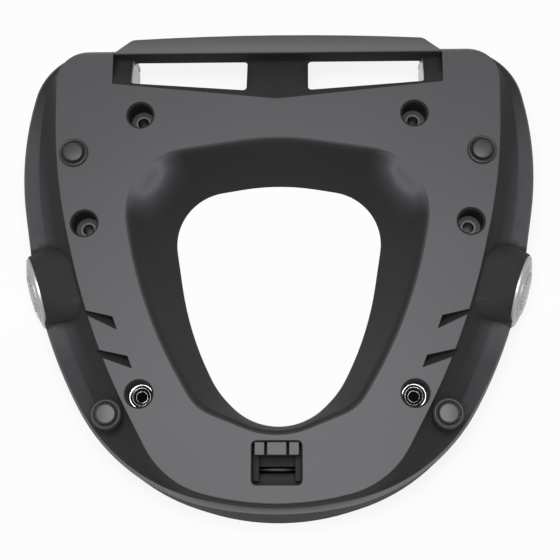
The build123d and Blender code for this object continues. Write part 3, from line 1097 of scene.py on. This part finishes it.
# %% Latch bar
ROD_HALF = 14.65
ROD_R = 2.0
ROD_BREAK = 0.3
rod_profile = [
    (0, -ROD_HALF, 0),
    (ROD_R, -ROD_HALF, ROD_BREAK),
    (ROD_R, ROD_HALF, ROD_BREAK),
    (0, ROD_HALF, 0),
]
low, high = (Vector(corner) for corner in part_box("strike_bar"))
lying = Matrix.Translation((low + high) / 2) @ Matrix.Rotation(math.radians(90), 4, "Y")
place_piece("ground_strike_bar", turned_mesh("strike_bar", rod_profile, lying), "strike_bar")
print("latch bar", 2 * ROD_HALF, "mm long")

# %% [markdown]
# The insert around the bar is a moulding whose edges have a small radius. A CAD node's mesh
# is loose triangles, so a copy of it is merged and its flat faces made whole, and then a
# bevel rounds the sharp edges.

# %% Latch insert
INSERT_RADIUS = 0.3 * MM
INSERT_SEGMENTS = 3
WELD = 0.001 * MM  # corners of the loose triangles nearer than this become one
FLAT_ANGLE = math.radians(1)  # triangles that bend less than this are one flat face


def softened_mesh(node_name, radius):
    """Copy of a CAD node's mesh, merged and with a small radius on its sharp edges."""
    shape = bmesh.new()
    shape.from_mesh(frame["nodes"][node_name].data)
    bmesh.ops.remove_doubles(shape, verts=shape.verts, dist=WELD)
    bmesh.ops.dissolve_limit(
        shape, angle_limit=FLAT_ANGLE, verts=shape.verts, edges=shape.edges
    )
    mesh = bpy.data.meshes.new(node_name)
    shape.to_mesh(mesh)
    shape.free()
    mesh.shade_smooth()
    rough = bpy.data.objects.new(node_name + "_rough", mesh)
    bpy.context.scene.collection.objects.link(rough)
    bevel = rough.modifiers.new("edge radius", "BEVEL")
    bevel.width = radius
    bevel.segments = INSERT_SEGMENTS
    bevel.limit_method = "ANGLE"
    bevel.angle_limit = SHARP_ANGLE
    rough.modifiers.new("flat faces stay flat", "WEIGHTED_NORMAL")
    evaluated = rough.evaluated_get(bpy.context.evaluated_depsgraph_get())
    finished = bpy.data.meshes.new_from_object(evaluated)
    bpy.data.objects.remove(rough)
    return finished


soft_insert = softened_mesh("latch_receiver", INSERT_RADIUS)
place_piece("moulded_latch_receiver", soft_insert, "latch_receiver")
print("insert faces", len(soft_insert.polygons))

# %% [markdown]
# ## Screws under the pocket
#
# Two thread-forming screws hold the insert from below. The head and the core are turned,
# and the thread is one ridge that climbs around the core. A ridge that follows a path is a
# job for Geometry Nodes: a spiral curve carries a three-sided section, and the result joins
# the turned screw.

# %% Thread
THREAD_POINTS = 32  # points on each turn of the spiral


def thread_tree(material):
    """Node tree that winds a three-sided ridge around a screw's core."""
    tree = bpy.data.node_groups.new("screw thread", "GeometryNodeTree")
    tree.interface.new_socket("Screw", in_out="INPUT", socket_type="NodeSocketGeometry")
    tree.interface.new_socket("Foot", in_out="INPUT", socket_type="NodeSocketVector")
    for label in ("Core", "Crest", "Turns", "Rise"):
        tree.interface.new_socket(label, in_out="INPUT", socket_type="NodeSocketFloat")
    tree.interface.new_socket("Screw", in_out="OUTPUT", socket_type="NodeSocketGeometry")
    given = add_node(tree, "NodeGroupInput").outputs
    tooth = add_node(
        tree,
        "ShaderNodeMath",
        {"operation": "SUBTRACT"},
        {0: given["Crest"], 1: given["Core"]},
    )
    path = add_node(
        tree,
        "GeometryNodeCurveSpiral",
        sockets={
            "Resolution": THREAD_POINTS,
            "Rotations": given["Turns"],
            "Start Radius": given["Core"],
            "End Radius": given["Core"],
            "Height": given["Rise"],
        },
    )
    section = add_node(
        tree,
        "GeometryNodeCurvePrimitiveCircle",
        sockets={"Resolution": 3, "Radius": tooth.outputs[0]},
    )
    ridge = add_node(
        tree,
        "GeometryNodeCurveToMesh",
        sockets={
            "Curve": path.outputs[0],
            "Profile Curve": section.outputs[0],
            "Fill Caps": True,
        },
    )
    moved = add_node(
        tree,
        "GeometryNodeTransform",
        sockets={"Geometry": ridge.outputs[0], "Translation": given["Foot"]},
    )
    whole = add_node(tree, "GeometryNodeJoinGeometry")
    tree.links.new(given["Screw"], whole.inputs[0])
    tree.links.new(moved.outputs[0], whole.inputs[0])
    real = add_node(tree, "GeometryNodeRealizeInstances", sockets={0: whole.outputs[0]})
    dressed = add_node(
        tree,
        "GeometryNodeSetMaterial",
        sockets={"Geometry": real.outputs[0], "Material": material},
    )
    result = add_node(tree, "NodeGroupOutput")
    tree.links.new(dressed.outputs[0], result.inputs[0])
    return tree


thread = thread_tree(zinc)
print("thread has", len(thread.nodes), "nodes")

# %% [markdown]
# The screws stand head down on their seats. The thread starts one tooth above the seat and
# ends two teeth below the tip, so that it never leaves the core.

# %% Screws
SCREW_SEAT = 21.5
SCREW_LENGTH = 9.0
SCREW_CREST = 1.6
SCREW_CORE = 1.2
SCREW_PITCH = 1.1
PLAIN_TEETH = 3  # length without thread, in teeth
screw_profile = [
    (0, -0.9, 0),
    (1.2, -0.9, 0.1),
    (1.35, -2.0, 0.1),
    (3.2, -2.0, 1.1),
    (3.2, 0, 0.1),
    (SCREW_CORE, 0, 0),
    (SCREW_CORE, SCREW_LENGTH, 0.5),
    (0, SCREW_LENGTH, 0),
]
tooth = SCREW_CREST - SCREW_CORE
rise = SCREW_LENGTH - PLAIN_TEETH * tooth
for side in SIDES:
    node_name = f"receiver_screw_{side}"
    base = upright(node_name, SCREW_SEAT)
    thread_sizes = {
        "Foot": base.translation + Vector((0, 0, tooth * MM)),
        "Core": SCREW_CORE * MM,
        "Crest": SCREW_CREST * MM,
        "Turns": rise / SCREW_PITCH,
        "Rise": rise * MM,
    }
    mesh = made_by(thread, turned_mesh(node_name, screw_profile, base), thread_sizes)
    place_piece(f"threaded_{node_name}", mesh, node_name)
print("screw faces", len(mesh.polygons))
